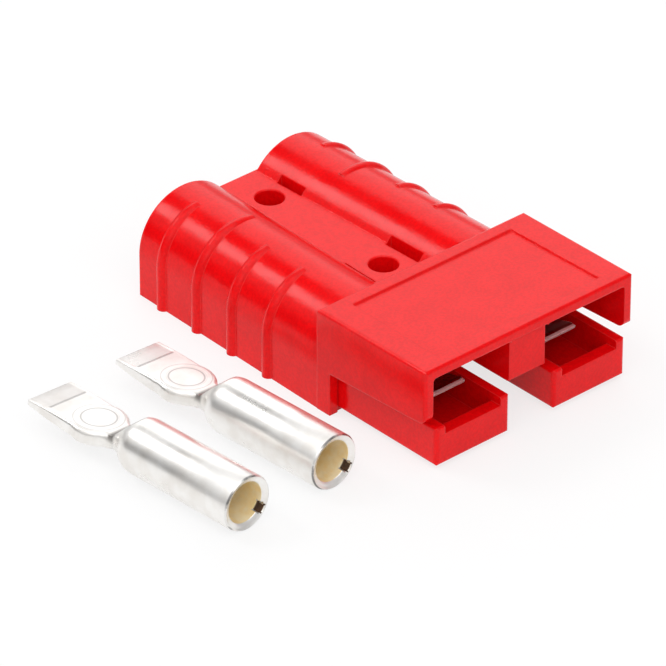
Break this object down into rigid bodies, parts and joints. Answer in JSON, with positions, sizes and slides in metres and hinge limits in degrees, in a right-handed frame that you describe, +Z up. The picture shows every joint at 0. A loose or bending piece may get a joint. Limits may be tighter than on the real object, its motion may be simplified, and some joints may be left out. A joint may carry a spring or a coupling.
{
  "type": "genderless power connector",
  "caption": "Two-pole genderless power connector: flat red moulded housing with arched ribbed barrels, hooded tongues, leaf springs and loose tubular crimp contacts.",
  "frame": {"origin": "midway between the two mounting holes, on the flat underside", "axes": "+Z up, -Y the way the mating face looks, +X to the right when looking along +Y; the loose contacts lie on the -X side"},
  "size_m": [0.0935, 0.0795, 0.0208],
  "materials": {
    "moulded_housing": "satin moulded polycarbonate",
    "spring_steel": "rolled stainless steel",
    "plated_contact": "bright silver plating on a copper alloy"
  },
  "bodies": {
    "root": {"housing": "moulded_housing", "leaf_spring_left": "spring_steel", "leaf_spring_right": "spring_steel", "crimp_contact_outer": "plated_contact", "crimp_contact_inner": "plated_contact"}
  },
  "joints": []
}
